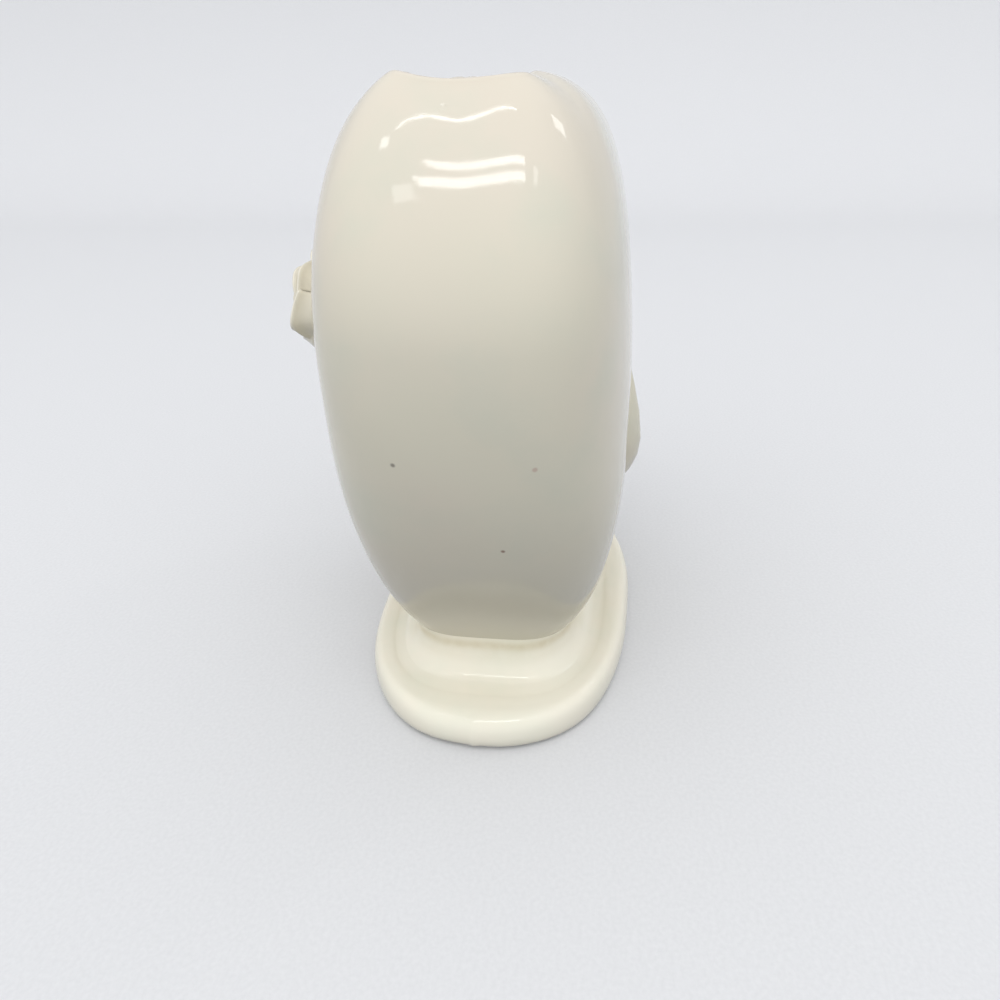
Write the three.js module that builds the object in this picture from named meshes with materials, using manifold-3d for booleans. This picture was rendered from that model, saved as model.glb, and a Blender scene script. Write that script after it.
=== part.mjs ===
// Heart-shaped flower vase on an oval pedestal foot, with a clay rose spray on its front face
// and a leaf sprig on its rear face. Millimetres, +Z up, front face towards -Y, foot on Z = 0.
import * as THREE from 'three';
import { mergeVertices } from 'three/addons/utils/BufferGeometryUtils.js';
import Module from 'manifold-3d';

const wasm = await Module();
wasm.setup();

// Glazes
const IVORY = 0xded9c6;
const CREAM = 0xe6e0cd;
const PETAL_CREAM = 0xe9e2d2;
const LEAF_CREAM = 0xe2dcc6;
const GLAZE_ROUGHNESS = 0.12;

// Heart body, seen from the front: half widths and heights
const NECK_HALF_WIDTH = 45.8;
const BELLY_HALF_WIDTH = 83.6;
const RIM_HALF_WIDTH = 56.9;
const BODY_BOTTOM = 19.5;
const BELLY_HEIGHT = 122;
const CREST_HEIGHT = 170.2;
const NECK_RISE = 0.9;
const BELLY_DROP = 46.4;
const BELLY_RISE = 21;
const RIM_LEAN = 6.5;
const RIM_DROP = 9;

// Heart body, seen from the narrow side: half depths and heights
const NECK_HALF_DEPTH = 25.7;
const FULL_HALF_DEPTH = 39.5;
const RIM_HALF_DEPTH = 15.2;
const FULL_DEPTH_HEIGHT = 76.6;
const NECK_SPREAD = 9.2;
const NECK_SPREAD_RISE = 4.4;
const FULL_DEPTH_DROP = 20.6;
const FULL_DEPTH_RISE = 63.5;
const SHOULDER_LEAN = 19.1;
const SHOULDER_DROP = 2.6;

// Walls, rim and section of the body
const WALL = 4.5;
const FLOOR = 6;
const CORNER_FULLNESS = 3.6;
const CLEFT_DEPTH = 22;
const CLEFT_SOFTNESS = 0.06;
const CLEFT_POWER = 2.2;
const CREST_PLACE = 0.55;
const END_PLACE = 0.74;
const END_DROP = 1.75;
const FRONT_LIFT = 0.74;
const CORNER_LIFT = 0.25;
const CORNER_PLACE = 0.86;
const CORNER_SPREAD = 0.1;

// Spigot under the body and its socket in the foot
const SPIGOT_HALF_WIDTH = 31;
const SPIGOT_HALF_DEPTH = 18;
const SPIGOT_LENGTH = 2;
const CLEARANCE = 0.3;

// Foot
const FOOT_HALF_LENGTH = 70.5;
const FOOT_HALF_WIDTH = 43.1;
const FOOT_FULLNESS = 2.46;
const BEAD_WIDTH = 9;
const BEAD_HEIGHT = 10.2;
const GROOVE_WIDTH = 8;
const GROOVE_FLOOR = 9.3;
const COLLAR_LEDGE = 1.5;
const REST_RING_INSET = 4.5;
const REST_RING_WIDTH = 8;
const RECESS_SLOPE = 2.5;
const RECESS_HEIGHT = 5;

// Rose on the front face: place, size and lean
const ROSE_X = 37;
const ROSE_Z = 119.3;
const ROSE_TILT = 4;
const PETAL_THICKNESS = 1.1;
const PETAL_LIP_SHARE = 0.55;
const PETAL_ROOT = -14;
const BUD_RADIUS = 0.8;
const BUD_TURNS = 1.4;
const BUD_GROWTH = 0.27;
const BUD_TOP = 9.4;
const BUD_FALL = 2;
const INNER_PETALS = { count: 3, radius: 4.2, growth: 0.7, span: 150, top: 8.8, flare: 1.4, droop: 0.3 };
const OUTER_PETALS = { count: 5, radius: 7.2, growth: 1.1, span: 104, top: 7.1, flare: 3, droop: 0.42 };

// Applied leaves and stems
const LEAF_EDGE = 1.4;
const LEAF_POINT = 0.3;
const LEAF_WIDTH = 17;
const LEAF_CROWN = 4;
const LEAF_ROOT_FULLNESS = 0.02;
const LEAF_SKEW = 0.8;
const LEAF_ROUNDNESS = 0.85;
const CROWN_ROOT = 0.12;
const CROWN_END = 0.92;
const VEIN_WIDTH = 0.16;
const VEIN_DEPTH = 0.8;
const FRONT_STEM_RADIUS = 2;
const FRONT_STEM_RISE = 3;
const REAR_STEM_RADIUS = 1.6;
const REAR_STEM_RISE = 0.8;
const STEM_EDGE = 0.4;
const STEM_ROOM = 12;
const STEM_ACROSS = 6.5;
const STEM_BELOW = 10.5;

// Lie of the sprays on the faces, in shares of the belly's half width and of the crest's height.
// A leaf starts at a share along its stem and has a share of the full leaf's width and crown
const FRONT_STEM_LINE = [[0.235, 0.509], [0.039, 0.404], [-0.157, 0.34]];
const FRONT_LEAVES = [
  { name: 'upper', from: 0.37, bend: [0.052, 0.603], tip: [-0.235, 0.621], width: 1, crown: 1 },
  { name: 'lower', from: 0.54, bend: [0.314, 0.445], tip: [0.484, 0.369], width: 0.82, crown: 0.87 },
  { name: 'end', from: 1, bend: [-0.314, 0.404], tip: [-0.523, 0.427], width: 0.88, crown: 0.87 },
];
const REAR_STEM_LINE = [[-0.203, 0.27], [-0.108, 0.317], [0, 0.358]];
const REAR_LEAVES = [
  { name: 'end', from: 1, bend: [0.161, 0.435], tip: [0.12, 0.536], width: 0.88, crown: 1.05 },
  { name: 'upper', from: 0.55, bend: [-0.132, 0.417], tip: [-0.311, 0.458], width: 0.76, crown: 0.6 },
  { name: 'lower', from: 0.2, bend: [-0.275, 0.247], tip: [-0.431, 0.288], width: 0.65, crown: 0.55 },
];

// Fineness of the surfaces
const RING_POINTS = 56;
const OUTER_LEVELS = 16;
const INNER_LEVELS = 10;
const LIP_STEPS = 4;
const CURVE_STEPS = 4;
const LEAF_STEPS = 10;
const LEAF_SIDES = 8;
const STEM_STEPS = 14;
const STEM_SIDES = 6;
const PETAL_STEPS = 10;
const PETAL_LEVELS = 6;
const BUD_STEPS = 22;
const SEARCH_STEPS = 40;
const WELD_DISTANCE = 1e-5;

const vector2 = (x, y) => new THREE.Vector2(x, y);
const smooth = (t) => t * t * (3 - 2 * t);
const clamp01 = (t) => Math.min(Math.max(t, 0), 1);

// Outlines of the body, each a lower and an upper curve that meet at the fullest height
const frontOutline = [
  new THREE.CubicBezierCurve(
    vector2(NECK_HALF_WIDTH, BODY_BOTTOM),
    vector2(NECK_HALF_WIDTH, BODY_BOTTOM + NECK_RISE),
    vector2(BELLY_HALF_WIDTH, BELLY_HEIGHT - BELLY_DROP),
    vector2(BELLY_HALF_WIDTH, BELLY_HEIGHT),
  ),
  new THREE.CubicBezierCurve(
    vector2(BELLY_HALF_WIDTH, BELLY_HEIGHT),
    vector2(BELLY_HALF_WIDTH, BELLY_HEIGHT + BELLY_RISE),
    vector2(RIM_HALF_WIDTH + RIM_LEAN, CREST_HEIGHT - RIM_DROP),
    vector2(RIM_HALF_WIDTH, CREST_HEIGHT),
  ),
];
const sideOutline = [
  new THREE.CubicBezierCurve(
    vector2(NECK_HALF_DEPTH, BODY_BOTTOM),
    vector2(NECK_HALF_DEPTH + NECK_SPREAD, BODY_BOTTOM + NECK_SPREAD_RISE),
    vector2(FULL_HALF_DEPTH, FULL_DEPTH_HEIGHT - FULL_DEPTH_DROP),
    vector2(FULL_HALF_DEPTH, FULL_DEPTH_HEIGHT),
  ),
  new THREE.CubicBezierCurve(
    vector2(FULL_HALF_DEPTH, FULL_DEPTH_HEIGHT),
    vector2(FULL_HALF_DEPTH, FULL_DEPTH_HEIGHT + FULL_DEPTH_RISE),
    vector2(RIM_HALF_DEPTH + SHOULDER_LEAN, CREST_HEIGHT - SHOULDER_DROP),
    vector2(RIM_HALF_DEPTH, CREST_HEIGHT),
  ),
];

// Half size and direction of an outline at a height, found by halving the curve's range
function outlineAt(outline, height) {
  const curve = height < outline[0].v3.y ? outline[0] : outline[1];
  let low = 0;
  let high = 1;
  for (let step = 0; step < SEARCH_STEPS; step++) {
    const middle = (low + high) / 2;
    if (curve.getPoint(middle).y < height) low = middle;
    else high = middle;
  }
  return { size: curve.getPoint(low).x, direction: curve.getTangent(low) };
}

// Height of the rim line at a place across the width, from 0 in the cleft to 1 at the narrow ends,
// and at a place through the depth, from -1 at the rear to 1 at the front, where the rim is lifted,
// most of all at the two front corners
function rimHeight(place, front) {
  const soft = Math.hypot(place, CLEFT_SOFTNESS) - CLEFT_SOFTNESS;
  const cleft = CLEFT_DEPTH * clamp01(1 - soft / CREST_PLACE) ** CLEFT_POWER;
  const end = END_DROP * smooth(clamp01((place - END_PLACE) / (1 - END_PLACE)));
  const nearCorner = Math.exp(-(((place - CORNER_PLACE) / CORNER_SPREAD) ** 2));
  const corner = CORNER_LIFT * nearCorner * Math.max(front, 0);
  return CREST_HEIGHT - cleft - end + FRONT_LIFT * front + corner;
}

// Real height of a point whose level would be reached at the crest of the lobes
function settledHeight(level, place, front) {
  if (level <= BODY_BOTTOM) return level;
  const share = (rimHeight(place, front) - BODY_BOTTOM) / (CREST_HEIGHT - BODY_BOTTOM);
  return BODY_BOTTOM + (level - BODY_BOTTOM) * share;
}

// One boxy oval ring of points, its half width and its height given by functions of its places
// across and through
function ovalRing(halfLength, halfWidth, fullness, height) {
  const points = [];
  for (let index = 0; index < RING_POINTS; index++) {
    const angle = (2 * Math.PI * index) / RING_POINTS;
    const c = Math.cos(angle);
    const s = Math.sin(angle);
    const reach = (Math.abs(c) ** fullness + Math.abs(s) ** fullness) ** (-1 / fullness);
    const z = height(Math.abs(c) * reach, -s * reach);
    const y = halfWidth(Math.abs(c) * reach) * reach * s;
    points.push(new THREE.Vector3(halfLength * reach * c, y, z));
  }
  return points;
}

// Closed solid through rings, capped at the first and the last ring
function loft(rings) {
  const count = rings[0].length;
  const position = rings.flat().flatMap((point) => point.toArray());
  const index = [];
  for (let ring = 0; ring + 1 < rings.length; ring++) {
    for (let step = 0; step < count; step++) {
      const next = (step + 1) % count;
      const a = ring * count + step;
      const b = ring * count + next;
      index.push(a, b, b + count, a, b + count, a + count);
    }
  }
  const caps = [rings[0], rings[rings.length - 1]];
  caps.forEach((ring, last) => {
    const centre = position.length / 3;
    const start = last ? (rings.length - 1) * count : 0;
    const middle = ring.reduce((sum, point) => sum.add(point), new THREE.Vector3()).divideScalar(count);
    position.push(...middle.toArray());
    for (let step = 0; step < count; step++) {
      const here = start + step;
      const next = start + ((step + 1) % count);
      if (last) index.push(centre, here, next);
      else index.push(centre, next, here);
    }
  });
  return indexed(position, index);
}

// Closed solid between two grids of points that share their size
function slab(lower, upper) {
  const rows = lower.length;
  const columns = lower[0].length;
  const sheet = rows * columns;
  const position = [...lower.flat(), ...upper.flat()].flatMap((point) => point.toArray());
  const index = [];
  const quad = (a, b, c, d) => index.push(a, b, c, a, c, d);
  for (let row = 0; row + 1 < rows; row++) {
    for (let column = 0; column + 1 < columns; column++) {
      const a = row * columns + column;
      quad(a, a + columns, a + columns + 1, a + 1);
      quad(sheet + a, sheet + a + 1, sheet + a + columns + 1, sheet + a + columns);
    }
  }
  for (let row = 0; row + 1 < rows; row++) {
    const first = row * columns;
    const last = first + columns - 1;
    quad(first, sheet + first, sheet + first + columns, first + columns);
    quad(last, last + columns, sheet + last + columns, sheet + last);
  }
  for (let column = 0; column + 1 < columns; column++) {
    const first = column;
    const last = (rows - 1) * columns + column;
    quad(first, first + 1, sheet + first + 1, sheet + first);
    quad(last, sheet + last, sheet + last + 1, last + 1);
  }
  return indexed(position, index);
}

// Geometry from positions and triangles, turned so that its volume is positive
function indexed(position, index) {
  const geometry = new THREE.BufferGeometry();
  geometry.setAttribute('position', new THREE.Float32BufferAttribute(position, 3));
  const corner = (i) => new THREE.Vector3().fromArray(position, 3 * i);
  let volume = 0;
  for (let i = 0; i < index.length; i += 3) {
    volume += corner(index[i]).dot(corner(index[i + 1]).cross(corner(index[i + 2])));
  }
  if (volume < 0) {
    for (let i = 0; i < index.length; i += 3) {
      [index[i], index[i + 1]] = [index[i + 1], index[i]];
    }
  }
  geometry.setIndex(index);
  return mergeVertices(geometry, WELD_DISTANCE);
}

function toManifold(geometry) {
  const merged = mergeVertices(geometry, WELD_DISTANCE);
  return new wasm.Manifold(new wasm.Mesh({
    numProp: 3,
    vertProperties: new Float32Array(merged.attributes.position.array),
    triVerts: new Uint32Array(merged.index.array),
  }));
}

function toGeometry(solid) {
  const mesh = solid.getMesh();
  const geometry = new THREE.BufferGeometry();
  geometry.setAttribute('position', new THREE.Float32BufferAttribute(mesh.vertProperties, 3));
  geometry.setIndex([...mesh.triVerts]);
  return geometry;
}

function piece(name, geometry, color) {
  const finished = geometry.clone();
  finished.computeVertexNormals();
  const glaze = new THREE.MeshStandardMaterial({ color, roughness: GLAZE_ROUGHNESS, metalness: 0 });
  const mesh = new THREE.Mesh(finished, glaze);
  mesh.name = name;
  return mesh;
}

// Move from the outside of the wall, round the rim, to the inside of the wall, square to its direction
function wallMove(direction, turn) {
  const along = (WALL / 2) * Math.sin(turn);
  const inwards = (WALL / 2) * (1 - Math.cos(turn));
  return vector2(direction.x * along - direction.y * inwards, direction.y * along + direction.x * inwards);
}

// Ring of the body at a level, outside the wall at a turn of 0, inside it at a turn of pi and round the rim
// between them. Its depth follows the real height, so that the cleft lowers the rim only
function bodyRing(level, turn, growth) {
  const end = outlineAt(frontOutline, level);
  const endMove = wallMove(end.direction, turn);
  const faceAt = (place) => outlineAt(sideOutline, settledHeight(level, place, 0));
  const halfDepth = (place) => {
    const face = faceAt(place);
    return face.size + wallMove(face.direction, turn).x + growth;
  };
  const height = (place, front) => {
    const faceRise = wallMove(faceAt(place).direction, turn).y;
    return settledHeight(level, place, front) + faceRise + (endMove.y - faceRise) * smooth(place);
  };
  return ovalRing(end.size + endMove.x + growth, halfDepth, CORNER_FULLNESS, height);
}

// Levels between two heights, closer together towards both
function levelsBetween(from, to, steps) {
  return Array.from({ length: steps + 1 }, (_, step) => {
    const share = (1 - Math.cos((Math.PI * step) / steps)) / 2;
    return from + (to - from) * share;
  });
}

// Hollow body: spigot, outer wall, rounded rim, inner wall and floor
function bodyCup() {
  const constant = (value) => () => value;
  const spigotDepth = constant(SPIGOT_HALF_DEPTH);
  const spigotFoot = BODY_BOTTOM - SPIGOT_LENGTH;
  const cavityFloor = BODY_BOTTOM + FLOOR;
  const rings = [
    ovalRing(SPIGOT_HALF_WIDTH, spigotDepth, CORNER_FULLNESS, constant(spigotFoot)),
    ovalRing(SPIGOT_HALF_WIDTH, spigotDepth, CORNER_FULLNESS, constant(BODY_BOTTOM)),
  ];
  for (const level of levelsBetween(BODY_BOTTOM, CREST_HEIGHT, OUTER_LEVELS)) {
    rings.push(bodyRing(level, 0, 0));
  }
  for (let step = 1; step < LIP_STEPS; step++) {
    rings.push(bodyRing(CREST_HEIGHT, (Math.PI * step) / LIP_STEPS, 0));
  }
  for (const level of levelsBetween(CREST_HEIGHT, cavityFloor, INNER_LEVELS)) {
    rings.push(bodyRing(level, Math.PI, 0));
  }
  const floorHalfWidth = outlineAt(frontOutline, BODY_BOTTOM).size - WALL;
  const floorDepth = constant(outlineAt(sideOutline, BODY_BOTTOM).size - WALL);
  rings.push(ovalRing(floorHalfWidth, floorDepth, CORNER_FULLNESS, constant(cavityFloor)));
  return loft(rings);
}

// Outer form of the body without its cavity, grown by a clearance
function bodyBlock(growth) {
  const levels = levelsBetween(BODY_BOTTOM, CREST_HEIGHT, OUTER_LEVELS);
  return loft(levels.map((level) => bodyRing(level, 0, growth)));
}

const placeAcross = (x, level) => Math.min(Math.abs(x) / outlineAt(frontOutline, level).size, 1);
const ovalDepth = (place) => (1 - place ** CORNER_FULLNESS) ** (1 / CORNER_FULLNESS);

// Distance of the front or the rear outer face from the middle plane, at a place seen from the front
function faceDepth(x, z, side) {
  let low = BODY_BOTTOM;
  let high = CREST_HEIGHT;
  for (let step = 0; step < SEARCH_STEPS; step++) {
    const level = (low + high) / 2;
    const place = placeAcross(x, level);
    if (settledHeight(level, place, -side * ovalDepth(place)) < z) low = level;
    else high = level;
  }
  const place = placeAcross(x, low);
  return outlineAt(sideOutline, settledHeight(low, place, 0)).size * ovalDepth(place);
}

// Body in two pressed halves that meet on the middle plane
const cup = toManifold(bodyCup());
const halfSpace = new THREE.BoxGeometry(4 * BELLY_HALF_WIDTH, 4 * FULL_HALF_DEPTH, 4 * CREST_HEIGHT);
halfSpace.deleteAttribute('normal');
halfSpace.deleteAttribute('uv');
halfSpace.translate(0, -2 * FULL_HALF_DEPTH, 0);
const frontSpace = toManifold(halfSpace);
const frontShell = toGeometry(cup.intersect(frontSpace));
const rearShell = toGeometry(cup.subtract(frontSpace));

// Foot: profile at the long end from the recess over the bead and the cove to the collar
function footGeometry() {
  const collarHalfLength = NECK_HALF_WIDTH + COLLAR_LEDGE;
  const collarHalfWidth = NECK_HALF_DEPTH + COLLAR_LEDGE;
  const restOuter = FOOT_HALF_LENGTH - REST_RING_INSET;
  const restInner = restOuter - REST_RING_WIDTH;
  const beadTop = FOOT_HALF_LENGTH - BEAD_WIDTH / 2;
  const grooveOuter = FOOT_HALF_LENGTH - BEAD_WIDTH;
  const grooveInner = grooveOuter - GROOVE_WIDTH;
  const beadMiddle = BEAD_HEIGHT / 2;
  const profile = new THREE.Path();
  profile.moveTo(restInner - RECESS_SLOPE, RECESS_HEIGHT);
  profile.lineTo(restInner, 0);
  profile.lineTo(restOuter, 0);
  profile.quadraticCurveTo(FOOT_HALF_LENGTH, 0, FOOT_HALF_LENGTH, beadMiddle);
  profile.quadraticCurveTo(FOOT_HALF_LENGTH, BEAD_HEIGHT, beadTop, BEAD_HEIGHT);
  profile.quadraticCurveTo(grooveOuter + GROOVE_WIDTH / 4, BEAD_HEIGHT, grooveOuter, GROOVE_FLOOR);
  profile.lineTo(grooveInner, GROOVE_FLOOR);
  profile.quadraticCurveTo(collarHalfLength, GROOVE_FLOOR, collarHalfLength, BODY_BOTTOM);
  const stretch = (FOOT_HALF_WIDTH - collarHalfWidth) / (FOOT_HALF_LENGTH - collarHalfLength);
  const rings = profile.getPoints(CURVE_STEPS).map((point) => {
    const halfWidth = FOOT_HALF_WIDTH - (FOOT_HALF_LENGTH - point.x) * stretch;
    const share = clamp01((FOOT_HALF_LENGTH - point.x) / (FOOT_HALF_LENGTH - collarHalfLength));
    const fullness = FOOT_FULLNESS + (CORNER_FULLNESS - FOOT_FULLNESS) * share;
    return ovalRing(point.x, () => halfWidth, fullness, () => point.y);
  });
  const socketFloor = BODY_BOTTOM - SPIGOT_LENGTH - CLEARANCE;
  for (const height of [BODY_BOTTOM, socketFloor]) {
    const halfLength = SPIGOT_HALF_WIDTH + CLEARANCE;
    const halfWidth = SPIGOT_HALF_DEPTH + CLEARANCE;
    rings.push(ovalRing(halfLength, () => halfWidth, CORNER_FULLNESS, () => height));
  }
  return loft(rings);
}

// Clay piece laid along a line on a face: it follows the face below and is rounded by a height above
function reliefPiece(side, line, halfWidth, height, gap, alongSteps, acrossSteps) {
  const lower = [];
  const upper = [];
  for (let along = 0; along <= alongSteps; along++) {
    const t = along / alongSteps;
    const middle = line.getPoint(t);
    const across = line.getTangent(t).rotateAround(vector2(0, 0), Math.PI / 2);
    const lowerRow = [];
    const upperRow = [];
    for (let step = 0; step <= acrossSteps; step++) {
      const u = (2 * step) / acrossSteps - 1;
      const x = middle.x + across.x * u * halfWidth(t);
      const z = middle.y + across.y * u * halfWidth(t);
      const seat = faceDepth(x, z, side) + gap;
      lowerRow.push(new THREE.Vector3(x, side * seat, z));
      upperRow.push(new THREE.Vector3(x, side * (seat + height(t, u)), z));
    }
    lower.push(lowerRow);
    upper.push(upperRow);
  }
  return slab(lower, upper);
}

// Place on a face, from its shares of the belly's half width and of the crest's height
function onFace([across, up]) {
  return vector2(across * BELLY_HALF_WIDTH, up * CREST_HEIGHT);
}

// Pointed leaf with a crown that rises to the middle and a sunken vein along it
function leafGeometry(side, leaf, stem, stemRoom) {
  const root = stem.getPoint(leaf.from);
  const line = new THREE.QuadraticBezierCurve(root, onFace(leaf.bend), onFace(leaf.tip));
  const halfWidth = (t) => {
    const place = LEAF_ROOT_FULLNESS + (1 - LEAF_ROOT_FULLNESS) * t;
    const share = Math.sin(Math.PI * place ** LEAF_SKEW) ** LEAF_ROUNDNESS;
    return LEAF_POINT + ((LEAF_WIDTH * leaf.width) / 2) * share;
  };
  const height = (t, u) => {
    const swell = Math.sin(Math.PI * (CROWN_ROOT + (CROWN_END - CROWN_ROOT) * t));
    const crown = (LEAF_CROWN * leaf.crown - LEAF_EDGE) * (1 - u * u) * swell;
    const vein = VEIN_DEPTH * Math.exp(-((u / VEIN_WIDTH) ** 2)) * Math.sin(Math.PI * t);
    return LEAF_EDGE + crown - vein;
  };
  const whole = reliefPiece(side, line, halfWidth, height, CLEARANCE, LEAF_STEPS, LEAF_SIDES);
  return toGeometry(toManifold(whole).subtract(stemRoom));
}

// Line of a stem, which starts under the flower where the spray has one
function stemLine(shares, flower) {
  const points = shares.map(onFace);
  return new THREE.SplineCurve(flower ? [flower, ...points] : points);
}

function stemGeometry(side, line, radius, rise) {
  const round = (t, u) => STEM_EDGE + rise * Math.sqrt(1 - u * u);
  return reliefPiece(side, line, () => radius, round, CLEARANCE, STEM_STEPS, STEM_SIDES);
}

// Room that a stem needs among its leaves, down into the body and up past the stem's back
function stemSpace(side, line, radius) {
  const halfWidth = radius + CLEARANCE;
  const room = reliefPiece(side, line, () => halfWidth, () => STEM_ROOM, -STEM_EDGE, STEM_STEPS, STEM_SIDES);
  return toManifold(room);
}

// Rose: upright petals round a rolled bud, in a group that leans out from the face
const rose = new THREE.Group();
rose.name = 'front_rose';
const roseSeat = faceDepth(ROSE_X, ROSE_Z, -1);
const slopeX = faceDepth(ROSE_X + 1, ROSE_Z, -1) - faceDepth(ROSE_X - 1, ROSE_Z, -1);
const slopeZ = faceDepth(ROSE_X, ROSE_Z + 1, -1) - faceDepth(ROSE_X, ROSE_Z - 1, -1);
const outward = new THREE.Vector3(-slopeX / 2, -1, -slopeZ / 2).normalize();
const tilt = THREE.MathUtils.degToRad(ROSE_TILT);
const roseAxis = outward.clone().multiplyScalar(Math.cos(tilt)).add(new THREE.Vector3(0, 0, Math.sin(tilt)));
rose.position.set(ROSE_X, -roseSeat, ROSE_Z);
rose.quaternion.setFromUnitVectors(new THREE.Vector3(0, 0, 1), roseAxis.normalize());
rose.updateMatrix();
const seatBlock = bodyBlock(CLEARANCE);
seatBlock.applyMatrix4(rose.matrix.clone().invert());
const seatSolid = toManifold(seatBlock);

// Upright petal between two turns, its radius growing with the turn so that neighbours overlap freely
function petalGeometry(startTurn, turns, radius, growth, flare, topAt, aroundSteps) {
  const inner = [];
  const outer = [];
  for (let around = 0; around <= aroundSteps; around++) {
    const share = around / aroundSteps;
    const angle = startTurn + turns * share;
    const top = topAt(share);
    const innerColumn = [];
    const outerColumn = [];
    for (let up = 0; up <= PETAL_LEVELS; up++) {
      const z = up === 0 ? PETAL_ROOT : (top * (up - 1)) / (PETAL_LEVELS - 1);
      const reach = radius + growth * turns * share + flare(Math.max(z, 0));
      const thickness = PETAL_THICKNESS * (up === PETAL_LEVELS ? PETAL_LIP_SHARE : 1);
      const c = Math.cos(angle);
      const s = Math.sin(angle);
      innerColumn.push(new THREE.Vector3(reach * c, reach * s, z));
      outerColumn.push(new THREE.Vector3((reach + thickness) * c, (reach + thickness) * s, z));
    }
    inner.push(innerColumn);
    outer.push(outerColumn);
  }
  return toGeometry(toManifold(slab(inner, outer)).subtract(seatSolid));
}

function addPetals(label, petals) {
  const span = THREE.MathUtils.degToRad(petals.span);
  const flare = (z) => petals.flare * (z / petals.top) ** 2;
  const topAt = (share) => petals.top * (1 - petals.droop * Math.abs(2 * share - 1) ** 3);
  for (let number = 0; number < petals.count; number++) {
    const start = (2 * Math.PI * number) / petals.count;
    const geometry = petalGeometry(start, span, petals.radius, petals.growth, flare, topAt, PETAL_STEPS);
    rose.add(piece(`front_rose_${label}_petal_${number + 1}`, geometry, PETAL_CREAM));
  }
}

const budTurns = 2 * Math.PI * BUD_TURNS;
const budTop = (share) => BUD_TOP - BUD_FALL * share;
const bud = petalGeometry(0, budTurns, BUD_RADIUS, BUD_GROWTH, () => 0, budTop, BUD_STEPS);
rose.add(piece('front_rose_bud', bud, PETAL_CREAM));
addPetals('inner', INNER_PETALS);
addPetals('outer', OUTER_PETALS);

// Whole vase, its overall box standing centred on the origin
const assembly = new THREE.Group();
assembly.name = 'assembly';
assembly.add(piece('body_front_shell', frontShell, IVORY));
assembly.add(piece('body_rear_shell', rearShell, IVORY));
assembly.add(piece('pedestal_foot', footGeometry(), CREAM));
assembly.add(rose);
const underRose = vector2(ROSE_X - STEM_ACROSS, ROSE_Z - STEM_BELOW);
const sprays = [
  {
    side: -1,
    label: 'front',
    stem: stemLine(FRONT_STEM_LINE, underRose),
    radius: FRONT_STEM_RADIUS,
    rise: FRONT_STEM_RISE,
    leaves: FRONT_LEAVES,
  },
  {
    side: 1,
    label: 'rear',
    stem: stemLine(REAR_STEM_LINE, null),
    radius: REAR_STEM_RADIUS,
    rise: REAR_STEM_RISE,
    leaves: REAR_LEAVES,
  },
];
for (const { side, label, stem, radius, rise, leaves } of sprays) {
  assembly.add(piece(`${label}_stem`, stemGeometry(side, stem, radius, rise), LEAF_CREAM));
  const stemRoom = stemSpace(side, stem, radius);
  for (const leaf of leaves) {
    assembly.add(piece(`${label}_leaf_${leaf.name}`, leafGeometry(side, leaf, stem, stemRoom), LEAF_CREAM));
  }
}
const overall = new THREE.Box3().setFromObject(assembly, true);
const middle = overall.getCenter(new THREE.Vector3());
assembly.position.set(-middle.x, -middle.y, -overall.min.z);

const vase = new THREE.Group();
vase.name = 'heart_vase';
vase.add(assembly);

export default vase;
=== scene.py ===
# Dresses the heart-shaped vase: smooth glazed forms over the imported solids, glaze materials, a pale studio
# sweep, soft lamps and the camera. The vase and the camera are in millimetres until they are placed, and
# the sweep and the lamps are in metres.
import math
import bpy
import numpy as np
from mathutils import Matrix, Vector


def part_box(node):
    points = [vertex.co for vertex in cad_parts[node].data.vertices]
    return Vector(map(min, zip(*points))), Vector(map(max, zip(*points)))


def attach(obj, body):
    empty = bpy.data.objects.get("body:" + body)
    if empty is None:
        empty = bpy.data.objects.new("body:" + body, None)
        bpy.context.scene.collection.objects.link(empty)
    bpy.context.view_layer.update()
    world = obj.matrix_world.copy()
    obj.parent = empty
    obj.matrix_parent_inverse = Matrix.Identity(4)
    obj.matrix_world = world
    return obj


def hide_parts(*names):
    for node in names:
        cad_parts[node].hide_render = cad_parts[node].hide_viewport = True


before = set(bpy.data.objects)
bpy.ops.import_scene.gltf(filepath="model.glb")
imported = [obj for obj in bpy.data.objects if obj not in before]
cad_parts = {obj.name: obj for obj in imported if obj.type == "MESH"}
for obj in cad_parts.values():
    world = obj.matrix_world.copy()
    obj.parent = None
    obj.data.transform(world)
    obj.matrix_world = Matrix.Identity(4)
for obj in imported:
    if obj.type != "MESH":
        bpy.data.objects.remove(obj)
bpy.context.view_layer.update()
MM = 0.001

# Heart body. The values are those of the part's source, apart from RIM_LEAN, RIM_DROP, END_DROP and
# FRONT_LIFT, which follow the photograph more closely here. LIFT_PLACE and LIFT_SPAN, which lift the front of
# the rim towards its corners, are the scene's own, and the source's small lift at the corners is left out
NECK_HALF_WIDTH, BELLY_HALF_WIDTH, RIM_HALF_WIDTH = 45.8, 83.6, 56.9
BODY_BOTTOM, BELLY_HEIGHT, CREST_HEIGHT = 19.5, 122.0, 170.2
NECK_RISE, BELLY_DROP, BELLY_RISE = 0.9, 46.4, 21.0
RIM_LEAN, RIM_DROP = 8.9, 8.5
NECK_HALF_DEPTH, FULL_HALF_DEPTH, RIM_HALF_DEPTH = 25.7, 39.5, 15.2
FULL_DEPTH_HEIGHT, NECK_SPREAD, NECK_SPREAD_RISE = 76.6, 9.2, 4.4
FULL_DEPTH_DROP, FULL_DEPTH_RISE, SHOULDER_LEAN, SHOULDER_DROP = 20.6, 63.5, 19.1, 2.6
WALL, FLOOR, FULLNESS = 4.5, 6.0, 3.6
CLEFT_DEPTH, CLEFT_SOFTNESS, CLEFT_POWER, CREST_PLACE = 22.0, 0.06, 2.2, 0.55
END_PLACE, END_DROP, FRONT_LIFT = 0.74, 1.6, 0.6
LIFT_PLACE, LIFT_SPAN = 0.62, 0.2
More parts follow.
